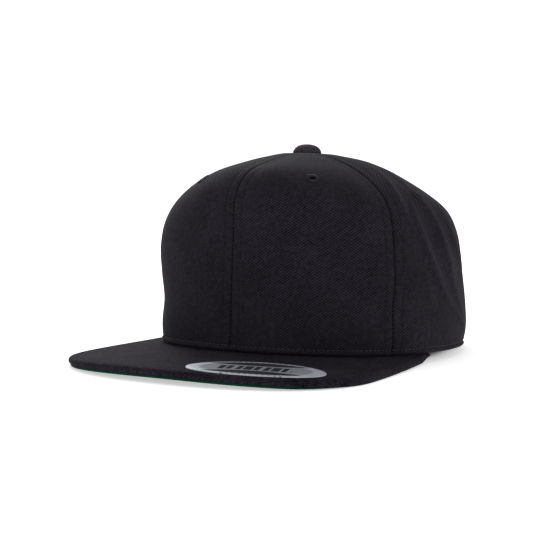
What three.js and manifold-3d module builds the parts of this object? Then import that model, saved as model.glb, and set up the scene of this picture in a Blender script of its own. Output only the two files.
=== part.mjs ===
import * as THREE from "three";
import { mergeVertices } from "three/addons/utils/BufferGeometryUtils.js";
import Module from "manifold-3d";

// A snapback cap with six panels and a flat peak, in millimetres.
// +Z is up, the peak points to -Y and the wearer's left is +X.

// Crown, on its outer face
const rimHalfWidth = 86;
const rimFront = 90;
const rimBack = 104;
const crownHeight = 110.5;
const crownLean = 10.6;
const wall = 1.6;
const clearance = 0.3;
const seamDip = 0.5;
const seamWidth = 3;
const panelFullness = 0.8;
const buttonHoleRadius = 3.8;

// Peak
const attachAngle = 76;
const peakLength = 64.5;
const peakHalfWidth = 89;
const peakWidestShare = 0.05;
const peakRoundness = 2.4;
const peakSlope = 2.9;
const peakSag = 0.4;
const rimArch = 3.7;
const frontArch = 3.3;
const peakThickness = 3;
const underThickness = 1;
const underInset = 0.4;
const edgeRoll = 1.2;
const seamAllowance = 5.5;

// Opening and strap at the back
const openingHalfWidth = 37;
const openingHeight = 54;
const strapHeight = 20;
const strapRaise = 3;
const tapeThickness = 1.2;
const strapOverlap = 12;
const strapGap = 0.7;
const strapTipShare = 0.3;
const studRadius = 2.3;
const studHeight = 1;
const studPitch = 11;
const studCount = 5;

// Sweatband
const bandHeight = 30;
const bandRaise = 1;
const bandThickness = 1.2;
const bandGap = 1;
const bandEndGap = 3;

// Eyelets and button
const eyeletRadius = 4.4;
const eyeletHoleRadius = 1.4;
const eyeletBarrelRadius = 2.8;
const eyeletRise = 0.8;
const buttonRadius = 8;
const buttonHeight = 5.6;
const buttonFlatRadius = 3;
const buttonStemRadius = 2.4;
const buttonBackRadius = 6.5;
const buttonBackThickness = 1;

// Oval sticker on the peak
const stickerHalfLength = 35;
const stickerHalfWidth = 17.5;
const stickerThickness = 0.35;
const stickerTurn = 20.3;
const stickerSideShare = 0.457;
const stickerForwardShare = 0.6;

// Crown sections from the rim to the top. height is a share of the crown's height, front, temple,
// nape and back are shares of the rim's radius at 0, 60, 120 and 180 degrees from the front, and
// seam is how many degrees the side seam is turned back from 60.
const sections = [
  { height: 0.00, front: 1.00, temple: 1.00, nape: 1.00, back: 1.00, seam: 0 },
  { height: 0.11, front: 0.99, temple: 1.01, nape: 1.02, back: 1.01, seam: 0 },
  { height: 0.23, front: 0.99, temple: 1.00, nape: 1.01, back: 1.01, seam: 0 },
  { height: 0.36, front: 0.99, temple: 1.02, nape: 0.99, back: 0.99, seam: 0 },
  { height: 0.49, front: 0.98, temple: 1.03, nape: 0.97, back: 0.95, seam: -1 },
  { height: 0.61, front: 0.97, temple: 1.00, nape: 0.94, back: 0.90, seam: -0.5 },
  { height: 0.72, front: 0.95, temple: 0.92, nape: 0.88, back: 0.83, seam: 1 },
  { height: 0.81, front: 0.88, temple: 0.79, nape: 0.76, back: 0.74, seam: 2 },
  { height: 0.885, front: 0.74, temple: 0.62, nape: 0.62, back: 0.63, seam: 2.5 },
  { height: 0.94, front: 0.51, temple: 0.45, nape: 0.49, back: 0.50, seam: 2 },
  { height: 0.98, front: 0.28, temple: 0.27, nape: 0.33, back: 0.33, seam: 1 },
  { height: 1.00, front: 0.00, temple: 0.00, nape: 0.00, back: 0.00, seam: 0 },
];

// Soft folds of the side panels. low and high are levels, 0 at the rim and 1 at the top, each with
// its angle from the front, bow is how far the fold swings between them in degrees, width is a
// share of the rim's half width and depth a share of the width, out where it is positive.
const folds = [
  { low: 0.46, high: 0.78, lowAngle: 68, highAngle: 84, bow: -5, width: 0.04, depth: 0.22 },
  { low: 0.57, high: 0.82, lowAngle: 81, highAngle: 98, bow: -1, width: 0.045, depth: 0.2 },
  { low: 0.07, high: 0.60, lowAngle: 112, highAngle: 75, bow: -16, width: 0.055, depth: 0.3 },
  { low: 0.15, high: 0.58, lowAngle: 104, highAngle: 78, bow: -8, width: 0.06, depth: -0.2 },
  { low: 0.12, high: 0.62, lowAngle: 107, highAngle: 86, bow: -7, width: 0.05, depth: 0.28 },
  { low: 0.25, high: 0.60, lowAngle: 103, highAngle: 91, bow: -5, width: 0.055, depth: -0.18 },
  { low: 0.28, high: 0.58, lowAngle: 108, highAngle: 99, bow: -7, width: 0.05, depth: 0.25 },
  { low: 0.10, high: 0.55, lowAngle: -100, highAngle: -84, bow: 6, width: 0.09, depth: -0.2 },
  { low: 0.14, high: 0.60, lowAngle: -112, highAngle: -90, bow: 4, width: 0.08, depth: 0.2 },
];

// Panels between their seams, in degrees from the front, with the angle and level of each eyelet
const panels = [
  { name: "front_panel_left", from: 0, to: 60, columns: 9, eyeletAngle: 31, eyeletLevel: 0.67 },
  { name: "side_panel_left", from: 60, to: 120, columns: 16, eyeletAngle: 84, eyeletLevel: 0.60 },
  { name: "back_panel_left", from: 120, to: 180, columns: 10, eyeletAngle: 150, eyeletLevel: 0.64 },
  { name: "back_panel_right", from: -180, to: -120, columns: 10, eyeletAngle: -150, eyeletLevel: 0.64 },
  { name: "side_panel_right", from: -120, to: -60, columns: 14, eyeletAngle: -84, eyeletLevel: 0.60 },
  { name: "front_panel_right", from: -60, to: 0, columns: 9, eyeletAngle: -31, eyeletLevel: 0.67 },
];
const panelRows = 14;
const sideSeamAngle = 60;
const hemLevel = 0.08;

const radian = Math.PI / 180;
const mix = THREE.MathUtils.lerp;
const clamp = THREE.MathUtils.clamp;

// Peak sizes that follow from the rim
const hinge = rimFront * Math.cos(attachAngle * radian);
const attachHalfWidth = rimHalfWidth * Math.sin(attachAngle * radian);
const peakReach = rimFront - hinge + peakLength;
const peakWidest = rimFront + peakLength * peakWidestShare;
const peakDepth = rimFront + peakLength - peakWidest;
const underDrop = peakThickness + clearance;

const wasm = await Module();
wasm.setup();

const cloth = new THREE.MeshStandardMaterial({ color: 0x212024, roughness: 0.92, metalness: 0 });
const underCloth = new THREE.MeshStandardMaterial({ color: 0x1f8a55, roughness: 0.9, metalness: 0 });
const thread = new THREE.MeshStandardMaterial({ color: 0x1b1a1e, roughness: 0.75, metalness: 0 });
const bandCloth = new THREE.MeshStandardMaterial({ color: 0x1a1a1d, roughness: 0.95, metalness: 0 });
const strapPlastic = new THREE.MeshStandardMaterial({ color: 0x17171a, roughness: 0.4, metalness: 0 });
const stickerFoil = new THREE.MeshStandardMaterial({ color: 0xb4b7c0, roughness: 0.35, metalness: 0.6 });

const cap = new THREE.Group();

// Smooth curve through evenly spaced values, at a share from 0 to 1
function curve(values, share) {
  const last = values.length - 1;
  const place = clamp(share, 0, 1) * last;
  const i = Math.min(Math.floor(place), last - 1);
  const f = place - i;
  const before = i > 0 ? values[i - 1] : 2 * values[0] - values[1];
  const after = i + 2 <= last ? values[i + 2] : 2 * values[last] - values[last - 1];
  return bend(before, values[i], values[i + 1], after, f);
}

// Catmull-Rom step between b and c
function bend(a, b, c, d, f) {
  const square = 2 * a - 5 * b + 4 * c - d;
  const cube = 3 * b - a - 3 * c + d;
  return 0.5 * (2 * b + (c - a) * f + square * f * f + cube * f * f * f);
}

function column(name, level) {
  return curve(sections.map((row) => row[name]), level);
}

// Share of the rim's radius at an angle from the front
function radiusShare(angle, level) {
  const [front, temple, nape, back] = ["front", "temple", "nape", "back"].map((name) => column(name, level));
  const ring = [temple, front, temple, nape, back, nape];
  const place = Math.abs(((angle + 540) % 360) - 180) / 60;
  const i = Math.min(Math.floor(place), 2);
  return bend(ring[i], ring[i + 1], ring[i + 2], ring[i + 3], place - i);
}

// Height of the peak's top face over the rim plane
function peakTop(x, y) {
  const past = Math.max(-y - hinge, 0);
  const outward = clamp((past - rimFront + hinge) / peakLength, 0, 1);
  const arch = mix(rimArch, frontArch, outward) * (1 - (x / attachHalfWidth) ** 2);
  return arch - past * Math.tan(peakSlope * radian) - peakSag * (past / peakReach) ** 2;
}

// The rim lies just over the peak at the front and over the rim plane elsewhere
function rimHeight(angle) {
  const x = rimHalfWidth * Math.sin(angle * radian);
  const y = -rimFront * Math.cos(angle * radian);
  return clearance + (Math.abs(angle) < attachAngle ? peakTop(x, y) : 0);
}

// Smooth crown before seams and folds
function form(angle, level) {
  const share = radiusShare(angle, level);
  const height = column("height", level);
  const ahead = Math.cos(angle * radian);
  const x = rimHalfWidth * Math.sin(angle * radian) * share;
  const y = -(ahead > 0 ? rimFront : rimBack) * ahead * share - crownLean * height ** 4;
  return new THREE.Vector3(x, y, crownHeight * height + rimHeight(angle) * (1 - level) ** 3);
}

// Direction out of the cloth, which is level along the rim so that the hem is flat
function outwardOf(angle, level) {
  const across = form(angle + 0.5, level).sub(form(angle - 0.5, level));
  const upward = form(angle, Math.min(level + 0.004, 1)).sub(form(angle, Math.max(level - 0.004, 0)));
  const outward = across.cross(upward).normalize();
  outward.z *= Math.min(level / hemLevel, 1);
  return outward.normalize();
}

function seamAt(angle, level) {
  if (Math.abs(angle) !== sideSeamAngle) {
    return angle;
  }
  return angle + Math.sign(angle) * column("seam", level);
}

function radiusAt(angle, level) {
  const spot = form(angle, level);
  return Math.hypot(spot.x, spot.y + crownLean * column("height", level) ** 4);
}

// How far the folds move the cloth out at a place
function foldRelief(angle, level) {
  let relief = 0;
  for (const fold of folds) {
    const along = (level - fold.low) / (fold.high - fold.low);
    if (along <= 0 || along >= 1 || angle * fold.lowAngle < 0) {
      continue;
    }
    const middle = mix(fold.lowAngle, fold.highAngle, along) + fold.bow * 4 * along * (1 - along);
    const width = fold.width * rimHalfWidth;
    const away = (angle - middle) * radian * radiusAt(angle, level) / width;
    relief += fold.depth * width * Math.sin(Math.PI * along) * Math.exp(-away * away);
  }
  return relief;
}

// Crown surface, moved in from the outer face by inset
function shell(angle, level, inset, relief) {
  return form(angle, level).addScaledVector(outwardOf(angle, level), relief - inset);
}

// Level of a height over the rim
function levelAt(height) {
  let low = 0;
  let high = 1;
  for (let i = 0; i < 30; i += 1) {
    const middle = (low + high) / 2;
    if (column("height", middle) * crownHeight < height) {
      low = middle;
    } else {
      high = middle;
    }
  }
  return (low + high) / 2;
}

// Lowest level of a panel, over the arch of the back opening
function lowestLevel(angle) {
  const x = rimHalfWidth * Math.sin(angle * radian);
  const open = Math.abs(angle) > 90 && Math.abs(x) < openingHalfWidth;
  return open ? levelAt(openingHeight * Math.sqrt(1 - (x / openingHalfWidth) ** 2)) : 0;
}

// Closed body between two grids of points; outer(i, j) turns left to right, then upwards
function sheet(columns, rows, outer, inner) {
  const points = [];
  const index = [];
  const at = (side, i, j) => side * (columns + 1) * (rows + 1) + j * (columns + 1) + i;
  for (const place of [outer, inner]) {
    for (let j = 0; j <= rows; j += 1) {
      for (let i = 0; i <= columns; i += 1) {
        points.push(place(i, j));
      }
    }
  }
  // Each square is split along its shorter diagonal
  const quad = (a, b, c, d) => {
    const split = points[a].distanceTo(points[c]) <= points[b].distanceTo(points[d]);
    index.push(...(split ? [a, b, c, a, c, d] : [a, b, d, b, c, d]));
  };
  for (let j = 0; j < rows; j += 1) {
    for (let i = 0; i < columns; i += 1) {
      quad(at(0, i, j), at(0, i + 1, j), at(0, i + 1, j + 1), at(0, i, j + 1));
      quad(at(1, i, j), at(1, i, j + 1), at(1, i + 1, j + 1), at(1, i + 1, j));
    }
  }
  for (let i = 0; i < columns; i += 1) {
    quad(at(0, i, 0), at(1, i, 0), at(1, i + 1, 0), at(0, i + 1, 0));
    quad(at(0, i, rows), at(0, i + 1, rows), at(1, i + 1, rows), at(1, i, rows));
  }
  for (let j = 0; j < rows; j += 1) {
    quad(at(0, 0, j), at(0, 0, j + 1), at(1, 0, j + 1), at(1, 0, j));
    quad(at(0, columns, j), at(1, columns, j), at(1, columns, j + 1), at(0, columns, j + 1));
  }
  const geometry = new THREE.BufferGeometry().setFromPoints(points);
  geometry.setIndex(index);
  return geometry;
}

// Shared vertices, no flat triangles and faces pointing out
function tidied(geometry) {
  geometry.deleteAttribute("normal");
  geometry.deleteAttribute("uv");
  const merged = mergeVertices(geometry, 1e-4);
  const corners = merged.index.array;
  const kept = [];
  for (let i = 0; i < corners.length; i += 3) {
    const [a, b, c] = corners.slice(i, i + 3);
    if (a !== b && b !== c && c !== a) {
      kept.push(a, b, c);
    }
  }
  merged.setIndex(volume(merged, kept) < 0 ? kept.reverse() : kept);
  return merged;
}

function volume(geometry, index) {
  const spots = geometry.attributes.position;
  const [a, b, c] = [new THREE.Vector3(), new THREE.Vector3(), new THREE.Vector3()];
  let total = 0;
  for (let i = 0; i < index.length; i += 3) {
    a.fromBufferAttribute(spots, index[i]);
    b.fromBufferAttribute(spots, index[i + 1]);
    c.fromBufferAttribute(spots, index[i + 2]);
    total += a.dot(b.cross(c)) / 6;
  }
  return total;
}

function toSolid(geometry) {
  const merged = tidied(geometry);
  const mesh = new wasm.Mesh({
    numProp: 3,
    vertProperties: new Float32Array(merged.attributes.position.array),
    triVerts: new Uint32Array(merged.index.array),
  });
  return new wasm.Manifold(mesh);
}

function toGeometry(solid) {
  const mesh = solid.getMesh();
  const geometry = new THREE.BufferGeometry();
  geometry.setAttribute("position", new THREE.BufferAttribute(mesh.vertProperties, 3));
  geometry.setIndex(new THREE.BufferAttribute(mesh.triVerts, 1));
  return geometry;
}

function addPiece(name, geometry, material) {
  geometry.computeVertexNormals();
  const mesh = new THREE.Mesh(geometry, material);
  mesh.name = name;
  cap.add(mesh);
  return mesh;
}

// Turned body along +Z from a profile of radius and height
function turned(profile, segments) {
  const points = profile.map(([radius, height]) => new THREE.Vector2(radius, height));
  return new THREE.LatheGeometry(points, segments).rotateX(Math.PI / 2);
}

// Place and direction of a panel's eyelet
function eyeletFrame(panel) {
  const angle = panel.eyeletAngle;
  const outward = outwardOf(angle, panel.eyeletLevel);
  const spot = shell(angle, panel.eyeletLevel, 0, panelFullness + foldRelief(angle, panel.eyeletLevel));
  const turn = new THREE.Quaternion().setFromUnitVectors(new THREE.Vector3(0, 0, 1), outward);
  return new THREE.Matrix4().compose(spot, turn, new THREE.Vector3(1, 1, 1));
}

// Shares across a panel, with narrow columns beside the seams
function columnShares(panel) {
  const edge = seamWidth / (rimHalfWidth * sideSeamAngle * radian);
  const inner = panel.columns - 2;
  const shares = [0];
  for (let i = 0; i <= inner; i += 1) {
    shares.push(mix(edge, 1 - edge, i / inner));
  }
  return [...shares, 1];
}

// Shares across a back panel, with columns spread evenly along the arch of the opening
function archShares(panel) {
  const foot = 180 - Math.asin(openingHalfWidth / rimHalfWidth) / radian;
  const half = panel.columns / 2;
  const shares = [];
  for (let i = 0; i <= half; i += 1) {
    shares.push(mix(0, (foot - 120) / 60, i / half));
  }
  for (let i = 1; i <= half; i += 1) {
    const x = openingHalfWidth * Math.cos((i / half) * Math.PI / 2);
    shares.push((60 - Math.asin(x / rimHalfWidth) / radian) / 60);
  }
  return panel.from > 0 ? shares : shares.map((share) => 1 - share).reverse();
}

function panelSurface(panel, shares, topLevel) {
  return (inset) => (i, j) => {
    const middle = mix(panel.from, panel.to, shares[i]);
    const level = mix(lowestLevel(middle), topLevel, j / panelRows);
    const slit = clearance / 2 / radiusAt(middle, level) / radian;
    const from = seamAt(panel.from, level) + slit;
    const to = seamAt(panel.to, level) - slit;
    const angle = mix(from, to, shares[i]);
    const edge = Math.min(shares[i], 1 - shares[i]);
    const seam = edge === 0 ? -seamDip : panelFullness * Math.min(1, 6 * edge);
    return shell(angle, level, inset, seam * (1 - level ** 8) + foldRelief(angle, level));
  };
}

function makePanel(panel) {
  const back = Math.max(Math.abs(panel.from), Math.abs(panel.to)) > 150;
  const shares = back ? archShares(panel) : columnShares(panel);
  const topLevel = 1 - buttonHoleRadius / rimHalfWidth / sections.at(-2).nape / (sections.length - 1);
  const surface = panelSurface(panel, shares, topLevel);
  const body = toSolid(sheet(panel.columns, panelRows, surface(0), surface(wall)));
  const drill = new THREE.CylinderGeometry(1, 1, 1, 12).rotateX(Math.PI / 2);
  const holeRadius = eyeletBarrelRadius + clearance;
  drill.scale(holeRadius, holeRadius, 8 * wall).applyMatrix4(eyeletFrame(panel));
  return toGeometry(body.subtract(toSolid(drill)));
}

function makeEyelet(panel) {
  const base = -wall;
  const profile = [
    [eyeletHoleRadius, base],
    [eyeletBarrelRadius, base],
    [eyeletBarrelRadius, clearance],
    [eyeletRadius, clearance],
    [eyeletRadius, clearance + eyeletRise * 0.5],
    [eyeletRadius * 0.8, clearance + eyeletRise],
    [eyeletHoleRadius, clearance + eyeletRise * 0.6],
    [eyeletHoleRadius, base],
  ];
  return tidied(turned(profile, 12).applyMatrix4(eyeletFrame(panel)));
}

// Covered button whose stem runs through the crown to a flat washer inside
function makeButton() {
  const foot = clearance;
  const inside = -wall - 3 * clearance;
  const profile = [
    [0, foot + buttonHeight],
    [buttonFlatRadius, foot + buttonHeight],
    [buttonRadius * 0.7, foot + buttonHeight * 0.9],
    [buttonRadius * 0.93, foot + buttonHeight * 0.62],
    [buttonRadius, foot + buttonHeight * 0.3],
    [buttonRadius * 0.94, foot],
    [buttonStemRadius, foot],
    [buttonStemRadius, inside],
    [buttonBackRadius, inside],
    [buttonBackRadius, inside - buttonBackThickness],
    [0, inside - buttonBackThickness],
  ];
  return tidied(turned(profile, 20).translate(0, -crownLean, crownHeight));
}

// Outer edge of the peak; side runs from -1 at the wearer's right to 1 at the left
function peakEdge(side) {
  const away = Math.abs(side);
  const corner = 0.63;
  let x;
  let y;
  if (away < corner) {
    const turn = (1 - away / corner) * Math.PI / 2;
    x = peakHalfWidth * Math.cos(turn) ** (2 / peakRoundness);
    y = -peakWidest - peakDepth * Math.sin(turn) ** (2 / peakRoundness);
  } else {
    const back = (1 - away) / (1 - corner);
    x = mix(attachHalfWidth, peakHalfWidth, Math.sin(back * Math.PI / 2));
    y = -mix(hinge, peakWidest, back);
  }
  return new THREE.Vector2(x * Math.sign(side), y);
}

// Plan point between the peak's inner edge, under the crown, and its outer edge
function peakPlan(side, share, inset) {
  const angle = side * attachAngle * radian;
  const inner = new THREE.Vector2(Math.sin(angle) * rimHalfWidth, -Math.cos(angle) * rimFront);
  inner.setLength(inner.length() - seamAllowance);
  const outer = peakEdge(side);
  const length = outer.distanceTo(inner);
  return inner.lerp(outer, share * (1 - inset / length));
}

// One layer of the peak between two drops below its top face, with a rolled outer edge
function peakLayer(drop, thickness, inset, roll) {
  const columns = 40;
  const shares = [0, 0.35, 0.7, 1, 1];
  const face = (depth, turnIn) => (i, j) => {
    const side = (2 * i) / columns - 1;
    const last = j === shares.length - 1;
    const plan = peakPlan(side, shares[j], inset + (last ? 0 : roll));
    const rounding = last ? turnIn : 0;
    return new THREE.Vector3(plan.x, plan.y, peakTop(plan.x, plan.y) - depth - rounding);
  };
  const top = face(drop, roll * 0.8);
  const bottom = face(drop + thickness, -roll * 0.8);
  return tidied(sheet(columns, shares.length - 1, top, bottom));
}

function makeSweatband() {
  const end = 180 - Math.asin((openingHalfWidth + strapOverlap + bandEndGap) / rimHalfWidth) / radian;
  const columns = 44;
  const rows = 3;
  const low = levelAt(bandRaise);
  const high = levelAt(bandHeight);
  const face = (inset) => (i, j) => shell(mix(-end, end, i / columns), mix(low, high, j / rows), inset, 0);
  const outer = wall + bandGap;
  return tidied(sheet(columns, rows, face(outer), face(outer + bandThickness)));
}

// One tape of the strap between two angles, at a depth inside the crown's outer face
function makeTape(from, to, inset, columns) {
  const low = levelAt(strapRaise);
  const high = levelAt(strapRaise + strapHeight);
  const rows = 2;
  const face = (depth) => (i, j) => shell(mix(from, to, i / columns), mix(low, high, j / rows), depth, 0);
  return toSolid(sheet(columns, rows, face(inset), face(inset + tapeThickness)));
}

// Two overlapping tapes of one closed strap, with the row of studs
function makeStrap() {
  const reach = Math.asin((openingHalfWidth + strapOverlap) / rimHalfWidth) / radian;
  const outer = wall + strapGap - panelFullness;
  let strap = makeTape(180 - reach, 180 + reach, outer + tapeThickness - 0.05, 14);
  strap = strap.add(makeTape(180 - reach, 180 + reach * strapTipShare, outer, 9));
  const level = levelAt(strapRaise + strapHeight / 2);
  for (let i = 0; i < studCount; i += 1) {
    const angle = 180 + ((i - (studCount - 1) / 2) * studPitch) / rimBack / radian;
    const onTip = angle < 180 + reach * strapTipShare - 1;
    const inset = onTip ? outer : outer + tapeThickness;
    const outward = outwardOf(angle, level);
    const turn = new THREE.Quaternion().setFromUnitVectors(new THREE.Vector3(0, 1, 0), outward);
    const stud = new THREE.CylinderGeometry(studRadius * 0.85, studRadius, 2 * studHeight, 8);
    const spot = shell(angle, level, inset, 0);
    stud.applyMatrix4(new THREE.Matrix4().compose(spot, turn, new THREE.Vector3(1, 1, 1)));
    strap = strap.add(toSolid(stud));
  }
  return toGeometry(strap);
}

// Thin oval that lies on the curved peak
function makeSticker() {
  const profile = [[0, 1], [0.5, 1], [1, 1], [1, 0], [0.5, 0], [0, 0]];
  const oval = turned(profile, 28);
  const spots = oval.attributes.position;
  const centre = new THREE.Vector2(peakHalfWidth * stickerSideShare, -rimFront - peakLength * stickerForwardShare);
  for (let i = 0; i < spots.count; i += 1) {
    const plan = new THREE.Vector2(spots.getX(i) * stickerHalfLength, spots.getY(i) * stickerHalfWidth);
    plan.rotateAround(new THREE.Vector2(), stickerTurn * radian).add(centre);
    const rise = clearance + spots.getZ(i) * stickerThickness;
    spots.setXYZ(i, plan.x, plan.y, peakTop(plan.x, plan.y) + rise);
  }
  return tidied(oval);
}

// Lean of the cap on a level surface, when it stands on its peak and its rear rim
function restTilt() {
  const spots = [];
  for (const mesh of cap.children) {
    const positions = mesh.geometry.attributes.position;
    for (let i = 0; i < positions.count; i += 1) {
      spots.push([positions.getY(i), positions.getZ(i)]);
    }
  }
  let tilt = 0;
  for (let step = 0; step < 12; step += 1) {
    const rise = ([y, z]) => z * Math.cos(tilt) - y * Math.sin(tilt);
    const lower = (a, b) => (rise(a) < rise(b) ? a : b);
    const front = spots.filter(([y]) => y < 0).reduce(lower);
    const rear = spots.filter(([y]) => y >= 0).reduce(lower);
    tilt = Math.atan2(rear[1] - front[1], rear[0] - front[0]);
  }
  return tilt;
}

for (const panel of panels) {
  addPiece(panel.name, makePanel(panel), cloth);
}
for (const panel of panels) {
  addPiece(panel.name.replace("panel", "eyelet"), makeEyelet(panel), thread);
}
addPiece("top_button", makeButton(), cloth);
addPiece("peak", peakLayer(0, peakThickness, 0, edgeRoll), cloth);
addPiece("peak_underside", peakLayer(underDrop, underThickness, underInset, underThickness * 0.4), underCloth);
addPiece("sweatband", makeSweatband(), bandCloth);
addPiece("snap_strap", makeStrap(), strapPlastic);
addPiece("peak_sticker", makeSticker(), stickerFoil);

// The cap stands on the corners of its peak and the rear of its rim
cap.rotation.x = -restTilt();
cap.updateMatrixWorld(true);
const box = new THREE.Box3().setFromObject(cap, true);
const middle = box.getCenter(new THREE.Vector3());
cap.position.set(-middle.x, -middle.y, -box.min.z);

export default cap;
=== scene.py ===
import math
import bpy
import numpy as np
from mathutils import Matrix, Vector


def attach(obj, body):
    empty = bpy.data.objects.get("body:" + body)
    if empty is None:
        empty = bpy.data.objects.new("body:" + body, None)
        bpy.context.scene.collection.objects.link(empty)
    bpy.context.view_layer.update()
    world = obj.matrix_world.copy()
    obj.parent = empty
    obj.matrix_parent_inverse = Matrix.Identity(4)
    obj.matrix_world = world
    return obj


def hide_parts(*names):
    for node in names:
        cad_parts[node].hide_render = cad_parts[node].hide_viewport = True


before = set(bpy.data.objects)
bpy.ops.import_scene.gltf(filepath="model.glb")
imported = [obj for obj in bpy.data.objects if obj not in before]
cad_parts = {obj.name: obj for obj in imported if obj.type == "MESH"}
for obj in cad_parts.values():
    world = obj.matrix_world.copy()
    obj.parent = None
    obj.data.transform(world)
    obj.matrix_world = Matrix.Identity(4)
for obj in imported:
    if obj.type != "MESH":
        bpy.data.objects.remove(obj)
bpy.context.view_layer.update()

# Snapback cap on a pale floor. Tables and shapes are in millimetres in the cap's own frame,
# with the rim at height 0 and the peak towards -Y; toWorld stands the cap on the floor.

radian = math.pi / 180

stance = {"tilt": 2.6884, "back": 24.6787, "lift": 4.1358}

view = {"azimuth": 31.108, "elevation": 3.866, "distance": 0.72, "scale": 1.673,
        "right": -24.622, "up": 42.671, "image": 540}

crown = {
    "halfWidth": 86, "front": 90, "back": 104, "top": 110.5, "lean": 10.6, "wall": 1.2,
    "clearance": 0.3, "fullness": 0.8, "buttonHole": 3.8, "eyeletHole": 2.9,
    "openingHalfWidth": 37, "openingHeight": 54,
    "height": [0, 0.11, 0.23, 0.36, 0.49, 0.61, 0.72, 0.81, 0.885, 0.94, 0.98, 1],
    "frontShare": [1, 0.99, 0.99, 0.99, 0.98, 0.97, 0.95, 0.88, 0.74, 0.51, 0.28, 0],
    "temple": [1, 1.01, 1.00, 1.02, 1.03, 1.00, 0.92, 0.79, 0.62, 0.45, 0.27, 0],
    "nape": [1, 1.02, 1.01, 0.99, 0.97, 0.94, 0.88, 0.76, 0.62, 0.49, 0.33, 0],
    "backShare": [1, 1.01, 1.01, 0.99, 0.95, 0.90, 0.83, 0.74, 0.63, 0.50, 0.33, 0],
    "seam": [0, 0, 0, 0, -1, -0.5, 1, 2, 2.5, 2, 1, 0],
}

# Seams, their rows of stitches and the hem, as sizes of the cloth's relief in millimetres
sewing = {
    "seamDepth": 0.95, "seamWidth": 0.8, "middleDepth": 0.5, "middleWidth": 0.55,
    "rowOffset": 5.4, "rowDepth": 0.16, "rowWidth": 0.6, "allowance": 0.1, "pucker": 0.035,
    "stitchPitch": 2.35, "hemRow": 3.3, "hemGroove": 0.4, "grooveWidth": 0.6, "hemSwell": 0.55,
    "swellAt": 1.8, "swellWidth": 1.1, "hemRoll": 1.5,
    "topSwell": 1.3, "topReach": 14, "topWidth": 9,
    "finest": 0.5, "coarsest": 1.35,  # steps of the grid beside a seam and away from it
    "sharp": 2,  # a fold narrower than this is a crease
}

# Soft folds: share of the crown's height, angle from the front and swing between the two ends in
# degrees, and width and rise in millimetres
foldColumns = ("low", "high", "lowAngle", "highAngle", "bow", "width", "rise")
folds = [dict(zip(foldColumns, row)) for row in (
    (0.44, 0.80, 68, 84, -5, 1.8, 1.15),
    (0.57, 0.82, 81, 98, -1, 1.8, 0.9),
    (0.05, 0.60, 113, 75, -16, 1.8, 1.65),
    (0.05, 0.60, 113, 75, -16, 5.5, 0.8),
    (0.12, 0.58, 104, 78, -8, 4.6, -0.7),
    (0.12, 0.62, 107, 85, -8, 1.8, 1.55),
    (0.12, 0.62, 107, 85, -8, 4.5, 0.5),
    (0.25, 0.60, 103, 91, -5, 4.2, -0.6),
    (0.26, 0.60, 109, 99, -7, 1.8, 1.35),
    (0.10, 0.50, 94, 66, -6, 5.0, -0.6),
    (0.14, 0.46, 84, 67, -3, 2.2, 0.45),
    (0.10, 0.55, -100, -84, 6, 7.7, -1.5),
    (0.14, 0.60, -112, -90, 4, 6.9, 1.4),
)]

panelColumns = ("side", "hand", "from", "to", "eyeletAngle", "eyeletLevel")
panels = [dict(zip(panelColumns, row)) for row in (
    ("front", "left", 0, 60, 31, 0.67),
    ("side", "left", 60, 120, 84, 0.60),
    ("back", "left", 120, 180, 150, 0.64),
    ("back", "right", -180, -120, -150, 0.64),
    ("side", "right", -120, -60, -84, 0.60),
    ("front", "right", -60, 0, -31, 0.67),
)]

peak = {
    "attachAngle": 79, "length": 64.5, "halfWidth": 89, "widestShare": 0.05, "roundness": 2.4,
    "slope": 2.9, "sag": 0.4, "rimArch": 3.7, "frontArch": 3.3, "allowance": 5.5, "corner": 0.63,
    "thickness": 3.4, "roll": 1.5, "sideSag": 0.5,
    "underThickness": 1.3, "underInset": 1.2, "underRoll": 0.35,
}


def toWorld(points):
    cosine, sine = math.cos(stance["tilt"] * radian), math.sin(stance["tilt"] * radian)
    x, y, z = np.asarray(points, float).reshape(-1, 3).T
    forward = y * cosine + z * sine + stance["back"]
    upward = z * cosine - y * sine + stance["lift"]
    return np.stack([x, forward, upward], 1) / 1000


# A smooth line from b to c at share f, between neighbours a and d
def bend(a, b, c, d, f):
    square = 2 * a - 5 * b + 4 * c - d
    cube = 3 * b - a - 3 * c + d
    return 0.5 * (2 * b + (c - a) * f + square * f * f + cube * f ** 3)


# The value at a share of the way along evenly spaced values
def curve(values, share):
    line = np.asarray(values, float)
    last = len(line) - 1
    place = np.clip(share, 0, 1) * last
    i = np.minimum(place.astype(int), last - 1)
    line = np.concatenate([[2 * line[0] - line[1]], line, [2 * line[-1] - line[-2]]])
    return bend(line[i], line[i + 1], line[i + 2], line[i + 3], place - i)


def smooth(share):
    share = np.clip(share, 0, 1)
    return share * share * (3 - 2 * share)


def bump(distance, width):
    return np.exp(-(distance / width) ** 2)


def radiusShare(angle, level):
    names = ("frontShare", "temple", "nape", "backShare")
    front, temple, nape, back = [curve(crown[name], level) for name in names]
    ring = np.stack([temple, front, temple, nape, back, nape])
    place = np.abs((angle + 540) % 360 - 180) / 60
    i = np.minimum(place.astype(int), 2)
    k = np.arange(len(place))
    return bend(ring[i, k], ring[i + 1, k], ring[i + 2, k], ring[i + 3, k], place - i)


def peakSizes():
    hinge = crown["front"] * math.cos(peak["attachAngle"] * radian)
    halfWidth = crown["halfWidth"] * math.sin(peak["attachAngle"] * radian)
    return hinge, halfWidth, crown["front"] - hinge + peak["length"]


def peakTop(x, y):
    hinge, halfWidth, reach = peakSizes()
    past = np.maximum(-y - hinge, 0)
    outward = np.clip((past - crown["front"] + hinge) / peak["length"], 0, 1)
    rise = peak["rimArch"] + (peak["frontArch"] - peak["rimArch"]) * outward
    arch = rise * (1 - (x / halfWidth) ** 2)
    return arch - past * math.tan(peak["slope"] * radian) - peak["sag"] * (past / reach) ** 2


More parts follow.
